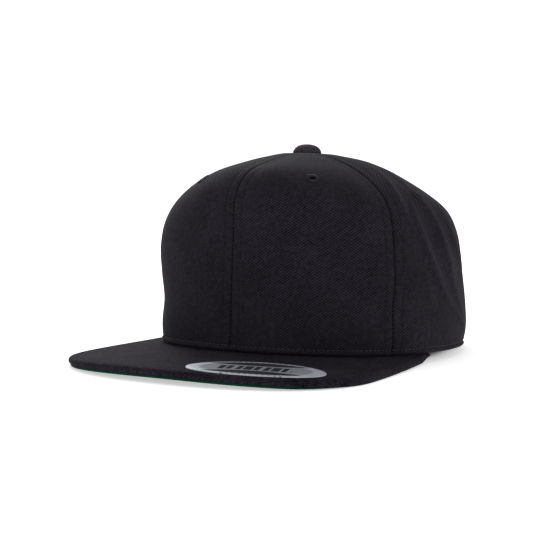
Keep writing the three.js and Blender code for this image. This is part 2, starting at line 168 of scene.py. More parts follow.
def rimHeight(angle):
    x = crown["halfWidth"] * np.sin(angle * radian)
    y = -crown["front"] * np.cos(angle * radian)
    return crown["clearance"] + np.where(np.abs(angle) < peak["attachAngle"], peakTop(x, y), 0)


# The plain crown at angles from the front in degrees and levels from 0 at the rim to 1 at the button
def form(angle, level):
    share = radiusShare(angle, level)
    height = curve(crown["height"], level)
    ahead = np.cos(angle * radian)
    x = crown["halfWidth"] * np.sin(angle * radian) * share
    y = -np.where(ahead > 0, crown["front"], crown["back"]) * ahead * share - crown["lean"] * height ** 4
    return np.stack([x, y, crown["top"] * height + rimHeight(angle) * (1 - level) ** 3], 1)


def outwardOf(angle, level):
    across = form(angle + 0.5, level) - form(angle - 0.5, level)
    upward = form(angle, np.minimum(level + 0.004, 1)) - form(angle, np.maximum(level - 0.004, 0))
    outward = np.cross(across, upward)
    outward /= np.linalg.norm(outward, axis=1)[:, None]
    outward[:, 2] *= np.minimum(level / 0.08, 1)
    return outward / np.linalg.norm(outward, axis=1)[:, None]


def radiusAt(angle, level):
    spot = form(angle, level)
    return np.hypot(spot[:, 0], spot[:, 1] + crown["lean"] * curve(crown["height"], level) ** 4)


def heightAt(level):
    return curve(crown["height"], level) * crown["top"]


def levelAt(height):
    levels = np.linspace(0, 1, 2001)
    return np.interp(height, heightAt(levels), levels)


def seamAngle(seam, level):
    return seam + (np.sign(seam) * curve(crown["seam"], level) if abs(seam) == 60 else 0 * level)


def lowestLevel(angle):
    x = crown["halfWidth"] * np.sin(angle * radian) / crown["openingHalfWidth"]
    arch = levelAt(crown["openingHeight"] * np.sqrt(np.maximum(1 - x * x, 0)))
    return np.where((np.abs(angle) > 90) & (np.abs(x) < 1), arch, 0)


# Distance along the cloth to the nearest seam
def seamGap(angle, level):
    gaps = [np.abs(angle - seamAngle(seam, level)) for seam in (-180, -120, -60, 0, 60, 120, 180)]
    return np.min(gaps, 0) * radian * radiusAt(angle, level)


# Distance up the cloth from the rim or from the arch of the opening
def hemGap(angle, level):
    height = np.maximum(heightAt(level), 0)
    x = crown["halfWidth"] * np.sin(angle * radian)
    across, rise = crown["openingHalfWidth"], crown["openingHeight"]
    around = np.sqrt((x / across) ** 2 + (height / rise) ** 2) + 1e-6
    slope = np.hypot(x / across ** 2, height / rise ** 2) / around
    arch = (around - 1) / np.maximum(slope, 1e-6)
    return np.where(np.abs(angle) > 90, np.minimum(height, arch), height)


def rowOffset(angle, level):
    return np.minimum(sewing["rowOffset"], radiusAt(angle, level) * 20 * radian)


def foldCrest(fold, angle, level):
    along = (level - fold["low"]) / (fold["high"] - fold["low"])
    inside = (along > 0) & (along < 1) & (angle * fold["lowAngle"] > 0)
    swing = fold["bow"] * 4 * along * (1 - along)
    middle = fold["lowAngle"] + (fold["highAngle"] - fold["lowAngle"]) * along + swing
    away = (angle - middle) * radian * radiusAt(angle, level) / fold["width"]
    crest = np.exp(-(away * away + 0.02) ** 0.8)
    return np.where(inside, np.sin(np.pi * np.clip(along, 0, 1)) * crest, 0)


def foldRelief(angle, level):
    return sum(fold["rise"] * foldCrest(fold, angle, level) for fold in folds)


# Painted highlight: the share of paler colour along the sharp creases, standing in for light catching their
# crests
def paintedCrestHighlight(angle, level):
    return sum(foldCrest(fold, angle, level) for fold in folds if fold["width"] < sewing["sharp"])


# Slow unevenness of soft cloth, stronger on the unstiffened panels
def softRelief(angle, level):
    x, y, z = form(angle, level).T
    slow = np.sin(x / 13 + z / 19 + 1.3) * np.sin(z / 11 - y / 17 + 0.4)
    slow = slow + 0.6 * np.sin(y / 9 + z / 14 + 2.1)
    return slow * np.where(np.abs(angle) < 60, 0.1, 0.1 + 0.2 * smooth((np.abs(angle) - 60) / 12))


# How far the sewn cloth stands out from the plain crown, in millimetres
def relief(angle, level):
    gap = seamGap(angle, level)
    hem = hemGap(angle, level)
    offset = rowOffset(angle, level)
    run = heightAt(level) + 40 * np.abs(angle) * radian
    middle = np.abs(angle) < 30
    depth = np.where(middle, sewing["middleDepth"], sewing["seamDepth"])
    width = np.where(middle, sewing["middleWidth"], sewing["seamWidth"])
    full = crown["fullness"] * smooth(gap / 14)
    allowance = sewing["allowance"] + sewing["pucker"] * np.sin(run / 1.9)
    allowance = allowance * bump(gap - 0.52 * offset, 0.3 * offset)
    rows = -sewing["rowDepth"] * bump(gap - offset, sewing["rowWidth"])
    seams = full + (allowance + rows) * smooth((hem - 3) / 3) - depth * bump(gap, width)
    seams = seams * (1 - level ** 8)
    strip = sewing["hemSwell"] * bump(hem - sewing["swellAt"], sewing["swellWidth"])
    strip = strip - sewing["hemGroove"] * bump(hem - sewing["hemRow"], sewing["grooveWidth"])
    drawn = sewing["topSwell"] * bump(radiusAt(angle, level) - sewing["topReach"], sewing["topWidth"])
    turned = np.clip(sewing["hemRoll"] - hem, 0, sewing["hemRoll"])
    strip = strip - (sewing["hemRoll"] - np.sqrt(sewing["hemRoll"] ** 2 - turned ** 2))
    soft = softRelief(angle, level) * smooth(hem / 12) * smooth(gap / 5)
    return seams + strip + drawn + foldRelief(angle, level) + soft


def crownPoint(angle, level, inset=0.0, dressed=True):
    moved = (relief(angle, level) if dressed else 0) - inset
    return form(angle, level) + outwardOf(angle, level) * np.reshape(moved, (-1, 1))


def deselectAll():
    for thing in list(bpy.context.selected_objects):
        thing.select_set(False)


def pickOnly(*things):
    deselectAll()
    for thing in things:
        thing.select_set(True)
    bpy.context.view_layer.objects.active = things[0]


def getPoints(piece):
    spots = np.empty(len(piece.data.vertices) * 3)
    piece.data.vertices.foreach_get("co", spots)
    return spots.reshape(-1, 3)


def setPoints(piece, points):
    piece.data.vertices.foreach_set("co", np.asarray(points, float).ravel())
    piece.data.update()


# Writes a map, in millimetres of cloth
def setMap(piece, spots, name="cloth"):
    mesh = piece.data
    if name == "cloth" and mesh.uv_layers:
        mesh.uv_layers[0].name = name
    layer = mesh.uv_layers.get(name) or mesh.uv_layers.new(name=name)
    corner = np.empty(len(mesh.loops), int)
    mesh.loops.foreach_get("vertex_index", corner)
    layer.data.foreach_set("uv", np.asarray(spots, float)[corner].ravel())


# A flat grid that a piece is shaped from, with each vertex's column and row
def addGrid(name, columns, rows):
    deselectAll()
    bpy.ops.mesh.primitive_grid_add(x_subdivisions=columns, y_subdivisions=rows, size=1, location=(0, 0, 0))
    piece = bpy.context.object
    piece.name = piece.data.name = name
    x, y, _ = getPoints(piece).T
    return piece, np.rint((x + 0.5) * columns).astype(int), np.rint((y + 0.5) * rows).astype(int)


def applyModifier(piece, kind, **settings):
    pickOnly(piece)
    modifier = piece.modifiers.new(kind.lower(), kind)
    for key, value in settings.items():
        setattr(modifier, key, value)
    bpy.ops.object.modifier_apply(modifier=modifier.name)


def inEditMode(piece, *steps):
    pickOnly(piece)
    bpy.ops.object.mode_set(mode="EDIT")
    bpy.ops.mesh.select_all(action="SELECT")
    for step in steps:
        step()
    bpy.ops.object.mode_set(mode="OBJECT")


def mergeDoubles(distance=0.00001):
    return lambda: bpy.ops.mesh.remove_doubles(threshold=distance)


def outwardNormals():
    bpy.ops.mesh.normals_make_consistent(inside=False)


def placeInMesh(piece):
    pickOnly(piece)
    bpy.ops.object.transform_apply(location=True, rotation=True, scale=True)


def joinPieces(name, pieces):
    pickOnly(*pieces)
    bpy.ops.object.join()
    joined = bpy.context.object
    joined.name = joined.data.name = name
    return joined


# Copies one small model to many places and joins the copies
def repeatModel(name, model, places):
    points = getPoints(model)
    faces = [list(face.vertices) for face in model.data.polygons]
    spots = [points @ np.array(place.to_3x3()).T + np.array(place.translation) for place in places]
    spots = np.concatenate(spots)
    copies = [[k * len(points) + i for i in face] for k in range(len(places)) for face in faces]
    mesh = bpy.data.meshes.new(name)
    mesh.from_pydata(spots.tolist(), [], copies)
    mesh.update()
    piece = bpy.data.objects.new(name, mesh)
    bpy.context.scene.collection.objects.link(piece)
    bpy.data.objects.remove(model)
    return piece


def dress(piece, slot, finish, *nodes, angle=40):
    piece.data.materials.clear()
    piece.data.materials.append(finish)
    pickOnly(piece)
    bpy.ops.object.shade_smooth_by_angle(angle=angle * radian)
    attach(piece, "root")
    if nodes:
        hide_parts(*nodes)


# Even steps through a length where spacing(place) says how far apart they may be
def spread(length, spacing):
    fine = np.linspace(0, length, 4001)
    crowd = np.concatenate([[0], np.cumsum(1 / spacing((fine[1:] + fine[:-1]) / 2)) * length / 4000])
    count = max(int(math.ceil(crowd[-1])), 2)
    return np.interp(np.linspace(0, crowd[-1], count + 1), crowd, fine) / length


class Wire:
    # A value inside a material that takes part in plain arithmetic
    def __init__(self, tree, socket):
        self.tree = tree
        self.socket = socket

    def maths(self, operation, *values):
        node = self.tree.nodes.new("ShaderNodeMath")
        node.operation = operation
        for socket, value in zip(node.inputs, values):
            feed(self.tree, socket, value)
        return Wire(self.tree, node.outputs[0])

    def __add__(self, other):
        return self.maths("ADD", self, other)

    def __sub__(self, other):
        return self.maths("SUBTRACT", self, other)

    def __rsub__(self, other):
        return self.maths("SUBTRACT", other, self)

    def __mul__(self, other):
        return self.maths("MULTIPLY", self, other)

    def __truediv__(self, other):
        return self.maths("DIVIDE", self, other)

    def __pow__(self, other):
        return self.maths("POWER", self, other)

    __radd__ = __add__
    __rmul__ = __mul__

    def sine(self):
        return self.maths("SINE", self)

    def size(self):
        return self.maths("ABSOLUTE", self)

    def most(self, other):
        return self.maths("MAXIMUM", self, other)

    # 0 below low, 1 above high and smooth between
    def step(self, low, high):
        node = self.tree.nodes.new("ShaderNodeMapRange")
        node.interpolation_type = "SMOOTHSTEP"
        for socket, value in zip(node.inputs, (self, low, high, 0.0, 1.0)):
            feed(self.tree, socket, value)
        return Wire(self.tree, node.outputs[0])


def feed(tree, socket, value):
    if isinstance(value, Wire):
        tree.links.new(value.socket, socket)
    else:
        socket.default_value = value


class Finish:
    # One material, with its Principled shader and its other nodes
    def __init__(self, name, **settings):
        self.material = bpy.data.materials.new(name)
        self.material.use_nodes = True
        self.tree = self.material.node_tree
        self.shader = self.tree.nodes["Principled BSDF"]
        for key, value in settings.items():
            self.shader.inputs[key].default_value = value

    def node(self, kind, settings=None, inputs=None, output=0):
        node = self.tree.nodes.new(kind)
        for key, value in (settings or {}).items():
            setattr(node, key, value)
        for key, value in (inputs or {}).items():
            feed(self.tree, node.inputs[key], value)
        return Wire(self.tree, node.outputs[output])

    def clothMap(self, name="cloth"):
        return self.node("ShaderNodeUVMap", {"uv_map": name})

    def axes(self, vector):
        split = self.tree.nodes.new("ShaderNodeSeparateXYZ")
        feed(self.tree, split.inputs[0], vector)
        return [Wire(self.tree, socket) for socket in split.outputs]

    def noise(self, vector, scale, detail=2.0, roughness=0.5):
        return self.node("ShaderNodeTexNoise", {"noise_dimensions": "3D"},
                         {"Vector": vector, "Scale": scale, "Detail": detail, "Roughness": roughness})

    def blend(self, share, low, high):
        return self.node("ShaderNodeMix", {"data_type": "RGBA"}, {0: share, 6: low, 7: high}, 2)

    def finish(self, colour, roughness, height=None, distance=0.0002, strength=1.0):
        feed(self.tree, self.shader.inputs["Base Color"], colour)
        feed(self.tree, self.shader.inputs["Roughness"], roughness)
        if height is not None:
            inputs = {"Height": height, "Distance": distance, "Strength": strength}
            normal = self.node("ShaderNodeBump", None, inputs)
            feed(self.tree, self.shader.inputs["Normal"], normal)
        return self.material


twill = {"pitch": 1.28, "lean": 34, "crossPitch": 1.26, "crossLean": -33, "wobble": 0.5}


# Waves across the cloth map at a lean from the level, from 0 to 1
def clothWave(u, v, lean, pitch, drift):
    across = u * math.sin(lean * radian) - v * math.cos(lean * radian) + drift
    return (across * (2 * math.pi / pitch)).sine() * 0.5 + 0.5


# Diagonal ridges of short floats; returns the height of the weave from 0 to 1
def twillHeight(finish, place):
    u, v, _ = finish.axes(place)
    drift = (finish.noise(place, 0.3) - 0.5) * twill["wobble"]
    ridges = clothWave(u, v, twill["lean"], twill["pitch"], drift)
    floats = clothWave(u, v, twill["crossLean"], twill["crossPitch"], drift)
    fuzz = finish.noise(place, 2.2, 3.0, 0.6)
    return ridges * 0.36 + floats * 0.27 + fuzz * 0.46


# Painted shade: dark dashes in the dimples where the rows of stitches and the middle seam draw the cloth
# in, from 0 to 1
def paintedSeamShade(finish):
    gap, run, _ = finish.axes(finish.clothMap("sewing"))
    dashes = (run * (2 * math.pi / sewing["stitchPitch"])).sine().step(-0.5, 0.3)
    row = (gap - sewing["rowOffset"]).size()
    beside, along = (1 - row.step(0.25, 0.7)) * 0.42, (1 - gap.step(0.3, 0.8)) * 0.75
    return beside.most(along) * (dashes * 0.65 + 0.35)


# Mottled and fleck say how uneven the tone is, and coarse how much slubs raise the weave
def makeTwill(name, dark, light, sheen, sewn=False, mottled=0.5, depth=0.0003, coarse=0.0, fleck=0.9):
    finish = Finish(name, **{"Sheen Weight": sheen, "Sheen Roughness": 0.4,
                             "Sheen Tint": (0.5, 0.465, 0.55, 1), "Specular IOR Level": 0.05})
    place = finish.clothMap()
    height = twillHeight(finish, place)
    slubs = finish.noise(place, 0.55, 3.0, 0.6)
    patches = finish.noise(place, 0.035, 3.0, 0.6)
    flecks = finish.noise(place, 0.4, 3.0, 0.75)
    # The raised threads of the weave are painted paler than its hollows: partly the cloth's grain, partly a
    # painted highlight on the thread tops
    tone = height * 0.95 + (patches - 0.5) * mottled + (flecks - 0.5) * fleck
    colour = finish.blend(tone.step(0.1, 1.0), dark, light)
    if sewn:
        # Painted highlight: the crests of the sharp creases are painted paler
        crestHighlightMask, _, _ = finish.axes(finish.clothMap("creases"))
        pale = tuple(value * 2.3 for value in light[:3]) + (1,)
        # Painted shade: the stitch rows and the middle seam are painted darker in dashes
        shade = tuple(value * 0.3 for value in dark[:3]) + (1,)
        colour = finish.blend(crestHighlightMask.step(0.1, 1.0) * 0.3, colour, pale)
        colour = finish.blend(paintedSeamShade(finish), colour, shade)
    return finish.finish(colour, 0.82 + (1 - height) * 0.16, height + slubs * coarse, depth, 0.85)


crownTwill = makeTwill("crown_twill", (0.0045, 0.0038, 0.0058, 1), (0.0270, 0.0237, 0.0320, 1), 0.03,
                       sewn=True)
peakTwill = makeTwill("peak_twill", (0.0024, 0.0018, 0.0033, 1), (0.0255, 0.0206, 0.0312, 1), 0.028,
                      mottled=0.9, depth=0.0004, coarse=2.2, fleck=1.6)
# The button's cloth is the crown's twill painted more than twice as pale: painted light from above on the
# button
litButtonTwill = makeTwill("button_twill_lit", (0.012, 0.010, 0.014, 1), (0.068, 0.060, 0.074, 1), 0.12)
# The lining's green is painted darker than the cloth is, as dark as it looks under the peak: painted shade
shadedUnderTwill = makeTwill("under_twill", (0.002, 0.018, 0.011, 1), (0.005, 0.056, 0.032, 1), 0.02)


def makeThread(name, dark, light, gloss):
    finish = Finish(name, **{"Sheen Weight": 0.03, "Sheen Roughness": 0.4, "Specular IOR Level": gloss})
    place = finish.node("ShaderNodeTexCoord", output=3)
    twist = finish.noise(place, 1400.0, 2.0)
    slow = finish.noise(place, 160.0, 2.0)
    colour = finish.blend((twist * 0.5 + slow * 0.5).step(0.3, 0.7), dark, light)
    return finish.finish(colour, 0.5 + twist * 0.25, twist, 0.00008)


threadFinish = makeThread("black_thread", (0.006, 0.0055, 0.007, 1), (0.018, 0.0165, 0.021, 1), 0.12)
# The hem's thread is the black thread painted paler: painted highlight where light catches the hem stitches
litHemThread = makeThread("hem_thread", (0.026, 0.024, 0.029, 1), (0.07, 0.066, 0.077, 1), 0.2)
eyeletThread = makeThread("eyelet_thread", (0.0064, 0.0054, 0.0078, 1), (0.0205, 0.0176, 0.0240, 1), 0.08)


def makeBandCloth():
    finish = Finish("band_cloth", **{"Sheen Weight": 0.1, "Sheen Roughness": 0.4,
                                     "Specular IOR Level": 0.15})
    place = finish.clothMap()
    u, v, _ = finish.axes(place)
    warp = (u * (2 * math.pi / 0.7)).sine() * (v * (2 * math.pi / 0.7)).sine()
    fuzz = finish.noise(place, 1.8, 3.0, 0.6)
    slow = finish.noise(place, 0.05, 2.0)
    height = warp * 0.25 + fuzz * 0.5 + 0.25
    tone = (height * 0.6 + slow * 0.5).step(0.2, 0.9)
    colour = finish.blend(tone, (0.007, 0.007, 0.008, 1), (0.02, 0.02, 0.023, 1))
    return finish.finish(colour, 0.8 + fuzz * 0.15, height, 0.00015)


bandCloth = makeBandCloth()


def makePlastic():
    finish = Finish("black_plastic", **{"Specular IOR Level": 0.4})
    place = finish.node("ShaderNodeTexCoord", output=3)
    grain = finish.noise(place, 900.0, 3.0)
    scuffs = finish.noise(place, 70.0, 4.0, 0.65)
    colour = finish.blend(scuffs.step(0.35, 0.75), (0.008, 0.008, 0.009, 1), (0.017, 0.017, 0.019, 1))
    return finish.finish(colour, 0.36 + scuffs * 0.2, grain, 0.00004, 0.6)


blackPlastic = makePlastic()

sticker = {"halfLength": 35, "halfWidth": 17.5, "thickness": 0.35, "lift": 0.12, "turn": 20.3,
           "sideShare": 0.457, "forwardShare": 0.6}


# Brushed silver foil with a plain printed design on a gray middle: two tapered bars, a row of
# slanted blocks between them, small ticks along the edge and a thin border
def makeFoil():
    finish = Finish("silver_foil", **{"Specular IOR Level": 0.22})
    place = finish.clothMap()
    u, v, _ = finish.axes(place)
    along, rise = u / sticker["halfLength"], (v / sticker["halfWidth"]).size()
    around = along * along + (v / sticker["halfWidth"]) * (v / sticker["halfWidth"])
    high, low = 0.86 - along * along * 0.50, 0.36 + along * along * 0.44
    bars = rise.step(low - 0.02, low + 0.02) * (1 - rise.step(high - 0.02, high + 0.02))
    blocks = ((u - v * 0.08) * (2 * math.pi / 4.6) + (u * 0.9).sine() * 0.7).sine().step(-0.75, -0.6)
    blocks = blocks * (1 - rise.step(0.26, 0.29)) * (1 - along.size().step(0.52, 0.53))
    ticks = (u * (2 * math.pi / 2.9)).sine().step(0.1, 0.4) * (1 - along.size().step(0.44, 0.45))
    ticks = ticks * rise.step(0.85, 0.86) * (1 - rise.step(0.93, 0.94)) * 0.7
    wash = (1 - around.step(0.6, 0.72)) * 0.52
    printed = bars.most(blocks).most(ticks).most(wash)
    border = around.step(0.95, 0.96) * (1 - around.step(0.975, 0.985)) * 0.3
    brushed = finish.noise(finish.node("ShaderNodeVectorMath", {"operation": "MULTIPLY"},
                                       {0: place, 1: (0.05, 2.2, 1.0)}), 1.0, 3.0)
    slow = finish.noise(place, 0.06, 2.0)
    tone = (brushed * 0.5 + slow * 0.6).step(0.3, 0.8)
    silver = finish.blend(tone, (0.40, 0.425, 0.475, 1), (0.50, 0.53, 0.585, 1))
    colour = finish.blend(printed.most(border), silver, (0.012, 0.0125, 0.016, 1))
    feed(finish.tree, finish.shader.inputs["Metallic"], 0.35 - printed * 0.33)
    return finish.finish(colour, (0.4 + brushed * 0.14).most(printed * 0.95), brushed, 0.00003, 0.5)


foil = makeFoil()
print("finishes made")

# The level where the panels end, under the button
topLevel = 1 - crown["buttonHole"] / crown["halfWidth"] / crown["nape"][-2] / (len(crown["height"]) - 1)


# Shares across a panel, closer together beside its seams and at the foot of the opening's arch
def columnShares(panel):
    arc = crown["halfWidth"] * 60 * radian
    inside = 180 - math.asin(crown["openingHalfWidth"] / crown["halfWidth"]) / radian

    def spacing(place):
        edge = np.minimum(place, arc - place)
        step = sewing["finest"] + (sewing["coarsest"] - sewing["finest"]) * smooth((edge - 7.5) / 6)
        if panel["side"] == "back":
            turn = 120 + 60 * place / arc
            reach = crown["halfWidth"] * np.sin(turn * radian) / crown["openingHalfWidth"]
            steep = np.where(turn > inside, np.sqrt(np.maximum(1 - reach ** 2, 0)), 1)
            foot = np.clip(steep, 0.12, 1)
            step = np.minimum(step, 1.1 * foot)
        return step

    shares = spread(arc, spacing)
    return 1 - shares[::-1] if panel["from"] < -120 else shares


# Shares up a panel of about 150 mm of cloth, closer together at its hem
def rowShares():
    return spread(150.0, lambda place: 0.5 + 0.65 * smooth((place - 8) / 8))


# Levels up the crown and the length of cloth from the rim to each
def meridian(angle):
    levels = np.linspace(0, 1, 400)
    line = form(np.full(400, float(angle)), levels)
    steps = np.linalg.norm(np.diff(line, axis=0), axis=1)
    return levels, np.concatenate([[0], np.cumsum(steps)])


def eyeletPlace(panel):
    angle, level = np.array([float(panel["eyeletAngle"])]), np.array([panel["eyeletLevel"]])
    return crownPoint(angle, level)[0], outwardOf(angle, level)[0]


# Removes the faces whose corners are all marked
def cutHole(piece, marked):
    pickOnly(piece)
    bpy.ops.object.mode_set(mode="EDIT")
    bpy.ops.mesh.select_mode(type="FACE")
    bpy.ops.mesh.select_all(action="DESELECT")
    bpy.ops.object.mode_set(mode="OBJECT")
    faces = [bool(marked[list(face.vertices)].all()) for face in piece.data.polygons]
    piece.data.polygons.foreach_set("select", faces)
    bpy.ops.object.mode_set(mode="EDIT")
    bpy.ops.mesh.delete(type="FACE")
    bpy.ops.mesh.select_mode(type="VERT")
    bpy.ops.object.mode_set(mode="OBJECT")


def makePanel(panel):
    name = f'{panel["side"]}_panel_{panel["hand"]}'
    shares, rises = columnShares(panel), rowShares()
    piece, i, j = addGrid(name + "_cloth", len(shares) - 1, len(rises) - 1)
    middle = panel["from"] + (panel["to"] - panel["from"]) * shares[i]
    low = lowestLevel(middle)
    level = low + (topLevel - low) * rises[j]
    start, end = seamAngle(panel["from"], level), seamAngle(panel["to"], level)
    angle = start + (end - start) * shares[i]
    spots = crownPoint(angle, level)
    setPoints(piece, toWorld(spots))
    centre = (panel["from"] + panel["to"]) / 2
    levels, lengths = meridian(centre)
    across = (angle - centre) * radian * radiusAt(angle, level)
    run = np.interp(level, levels, lengths)
    setMap(piece, np.stack([across, run], 1))
    toSeam = seamGap(angle, level) / rowOffset(angle, level) * sewing["rowOffset"]
    setMap(piece, np.stack([toSeam, run], 1), "sewing")
    # Painted highlight share along the sharp creases, read by the crown's twill
    setMap(piece, np.stack([paintedCrestHighlight(angle, level), run], 1), "creases")
    cutHole(piece, np.linalg.norm(spots - eyeletPlace(panel)[0], axis=1) < crown["eyeletHole"])
    applyModifier(piece, "SOLIDIFY", thickness=crown["wall"] / 1000, offset=-1, use_even_offset=False,
                  use_rim=True)
    dress(piece, "crown_cloth", crownTwill, name)


for panel in panels:
    makePanel(panel)
print("crown panels made")

stitch = {"length": 1.75, "width": 0.42, "hemPitch": 2.6, "sunk": 0.13, "hemSunk": 0.02}


def stitchModel():
    deselectAll()
    bpy.ops.mesh.primitive_uv_sphere_add(segments=6, ring_count=5, radius=1, location=(0, 0, 0))
    model = bpy.context.object
    points = getPoints(model)[:, [2, 0, 1]]
    sizes = np.array([stitch["length"], stitch["width"], stitch["width"]])
    setPoints(model, points * (sizes / 2) / 1000)
    return model


# Places at an even pitch along a line on the cloth; x runs along the line and z out of the cloth
def rowPlaces(points, outwards, pitch=sewing["stitchPitch"], sunk=stitch["sunk"]):
    points, pitch = toWorld(points), pitch / 1000
    zero = toWorld(np.zeros((1, 3)))
    outwards = toWorld(outwards) - zero
    lengths = np.concatenate([[0], np.cumsum(np.linalg.norm(np.diff(points, axis=0), axis=1))])
    places = []
    for length in np.arange(pitch / 2, lengths[-1], pitch):
        pairs = ((length, points), (length + pitch / 3, points), (length - pitch / 3, points),
                 (length, outwards))
        spot, ahead, behind, out = [np.array([np.interp(at, lengths, line[:, k]) for k in range(3)])
                                    for at, line in pairs]
        x = Vector(ahead - behind).normalized()
        z = Vector(out)
        z = (z - x * z.dot(x)).normalized()
        y = z.cross(x)
        turn = Matrix((x, y, z)).transposed().to_4x4()
        turn.translation = Vector(spot) - z * (sunk / 1000)
        places.append(turn)
    return places


# Stitches beside a seam, from above the hem to the button
def seamRow(seam, side):
    level = np.linspace(levelAt(sewing["hemRow"] + 0.6), 0.982, 400)
    if abs(seam) == 180:
        level = np.linspace(levelAt(crown["openingHeight"] + sewing["hemRow"] + 0.6), 0.982, 300)
    line = seamAngle(seam, level)
    radius = radiusAt(line, level)
    angle = line + side * rowOffset(line, level) / radius / radian
    return rowPlaces(crownPoint(angle, level), outwardOf(angle, level))


# Stitches along the rim and round the arch of the opening
def hemRows():
    foot = 180 - math.asin(crown["openingHalfWidth"] / crown["halfWidth"]) / radian
    reach = foot - sewing["hemRow"] / crown["halfWidth"] / radian / math.cos((180 - foot) * radian)
    angle = np.linspace(-reach, reach, 1200)
    level = np.full(1200, float(levelAt(sewing["hemRow"])))
    spots, outwards = crownPoint(angle, level), outwardOf(angle, level)
    hem = rowPlaces(spots, outwards, stitch["hemPitch"], stitch["hemSunk"])
    turn = np.linspace(0.03, math.pi - 0.03, 400)
    x = -(crown["openingHalfWidth"] + sewing["hemRow"]) * np.cos(turn)
    angle = 180 - np.arcsin(x / crown["halfWidth"]) / radian
    level = levelAt((crown["openingHeight"] + sewing["hemRow"]) * np.sin(turn))
    signed = np.where(angle > 180, angle - 360, angle)
    spots, outwards = crownPoint(signed, level), outwardOf(signed, level)
    return hem + rowPlaces(spots, outwards, stitch["hemPitch"], stitch["hemSunk"])


seamPlaces = []
for seam in (-120, -60, 0, 60, 120):
    seamPlaces += seamRow(seam, -1) + seamRow(seam, 1)
seamPlaces += seamRow(180, -1) + seamRow(-180, 1)
dress(repeatModel("seam_stitches", stitchModel(), seamPlaces), "thread", threadFinish)
dress(repeatModel("hem_stitches", stitchModel(), hemRows()), "thread", litHemThread)
print("stitches made", len(seamPlaces))

eyelet = {"ring": 2.65, "thread": 1.4, "rise": 0.42, "wraps": 30, "lift": -0.1}


def makeEyelet(panel):
    name = f'{panel["side"]}_eyelet_{panel["hand"]}'
    deselectAll()
    bpy.ops.mesh.primitive_torus_add(major_segments=eyelet["wraps"] * 6, minor_segments=14,
                                     major_radius=eyelet["ring"], minor_radius=eyelet["thread"],
                                     location=(0, 0, 0))
    piece = bpy.context.object
    x, y, z = getPoints(piece).T
    swell = np.hypot(x, y) - eyelet["ring"]
    turn = np.arctan2(y, x)
    # Turns of thread that lie unevenly round the ring
    wrap = 1 + 0.11 * np.cos(turn * eyelet["wraps"] + 0.3 * np.sin(turn * 5))
    wrap = wrap + 0.03 * np.sin(turn * 7 + 1)
    reach = eyelet["ring"] + swell * wrap
    rise = z * wrap * eyelet["rise"] + eyelet["lift"]
    spots = np.stack([reach * np.cos(turn), reach * np.sin(turn), rise], 1)
    spot, outward = eyeletPlace(panel)
    aim = np.array(Vector(outward).to_track_quat("Z", "Y").to_matrix())
    setPoints(piece, toWorld(spots @ aim.T + spot))
    piece.name = piece.data.name = name + "_thread"
    dress(piece, "thread", eyeletThread, name, angle=60)


for panel in panels:
    makeEyelet(panel)
print("eyelets made")

# Radius and height of the cover from its underside to its top
button = {"reach": [0, 4, 6.6, 7.6, 8.15, 8.2, 7.85, 7.1, 5.9, 4.2, 2.2, 0],
          "rise": [0.9, 0.85, 0.5, 0.25, 0.8, 1.7, 2.8, 3.9, 4.9, 5.65, 6.1, 6.25],
          "pleats": 22, "pleat": 0.09, "backRadius": 6.5, "backDrop": 2.5, "backThickness": 1, "stem": 2.4}


def makeButton():
    deselectAll()
    bpy.ops.mesh.primitive_uv_sphere_add(segments=88, ring_count=44, radius=1, location=(0, 0, 0))
    cover = bpy.context.object
    x, y, z = getPoints(cover).T
    turn = np.arctan2(y, x)
    share = np.arcsin(np.clip(z, -1, 1)) / math.pi + 0.5
    reach, rise = curve(button["reach"], share), curve(button["rise"], share)
    pleats = button["pleat"] / 8 * np.cos(turn * button["pleats"]) * (1 - smooth((rise - 1) / 3))
    reach = reach * (1 + pleats)
    spots = np.stack([reach * np.cos(turn), reach * np.sin(turn), rise], 1)
    flat = 14 * (1 - share)
    setMap(cover, np.stack([flat * np.cos(turn), flat * np.sin(turn)], 1))
    seat = np.array([0, -crown["lean"], crown["top"]])
    setPoints(cover, toWorld(spots + seat))
    deselectAll()
    bpy.ops.mesh.primitive_cylinder_add(vertices=40, radius=1, depth=1, location=(0, 0, 0))
    back = bpy.context.object
    inEditMode(back, lambda: bpy.ops.mesh.bevel(offset=0.18, segments=3))
    sizes = np.array([button["backRadius"], button["backRadius"], button["backThickness"]])
    points = getPoints(back) * sizes
    points[:, 2] -= button["backDrop"] + button["backThickness"] / 2
    setPoints(back, toWorld(points + seat))
    setMap(back, points[:, :2])
    deselectAll()
    bpy.ops.mesh.primitive_cylinder_add(vertices=24, radius=button["stem"], depth=button["backDrop"] + 1.5,
                                        location=(0, 0, -0.4))
    stem = bpy.context.object
    placeInMesh(stem)
    points = getPoints(stem)
    setMap(stem, points[:, [0, 2]])
    setPoints(stem, toWorld(points + seat))
    piece = joinPieces("button_cover", [cover, back, stem])
    dress(piece, "crown_cloth", litButtonTwill, "top_button", angle=50)


makeButton()
print("button made")


def peakEdge(side):
    hinge, halfWidth, _ = peakSizes()
    widest = crown["front"] + peak["length"] * peak["widestShare"]
    depth = crown["front"] + peak["length"] - widest
    away = np.abs(side)
    turn = np.clip(1 - away / peak["corner"], 0, 1) * math.pi / 2
    back = np.clip((1 - away) / (1 - peak["corner"]), 0, 1)
    power = 2 / peak["roundness"]
    ahead = away < peak["corner"]
    x = np.where(ahead, peak["halfWidth"] * np.abs(np.cos(turn)) ** power,
                 halfWidth + (peak["halfWidth"] - halfWidth) * np.sin(back * math.pi / 2))
    y = np.where(ahead, -widest - depth * np.abs(np.sin(turn)) ** power, -(hinge + (widest - hinge) * back))
    return np.stack([x * np.sign(side), y], 1)


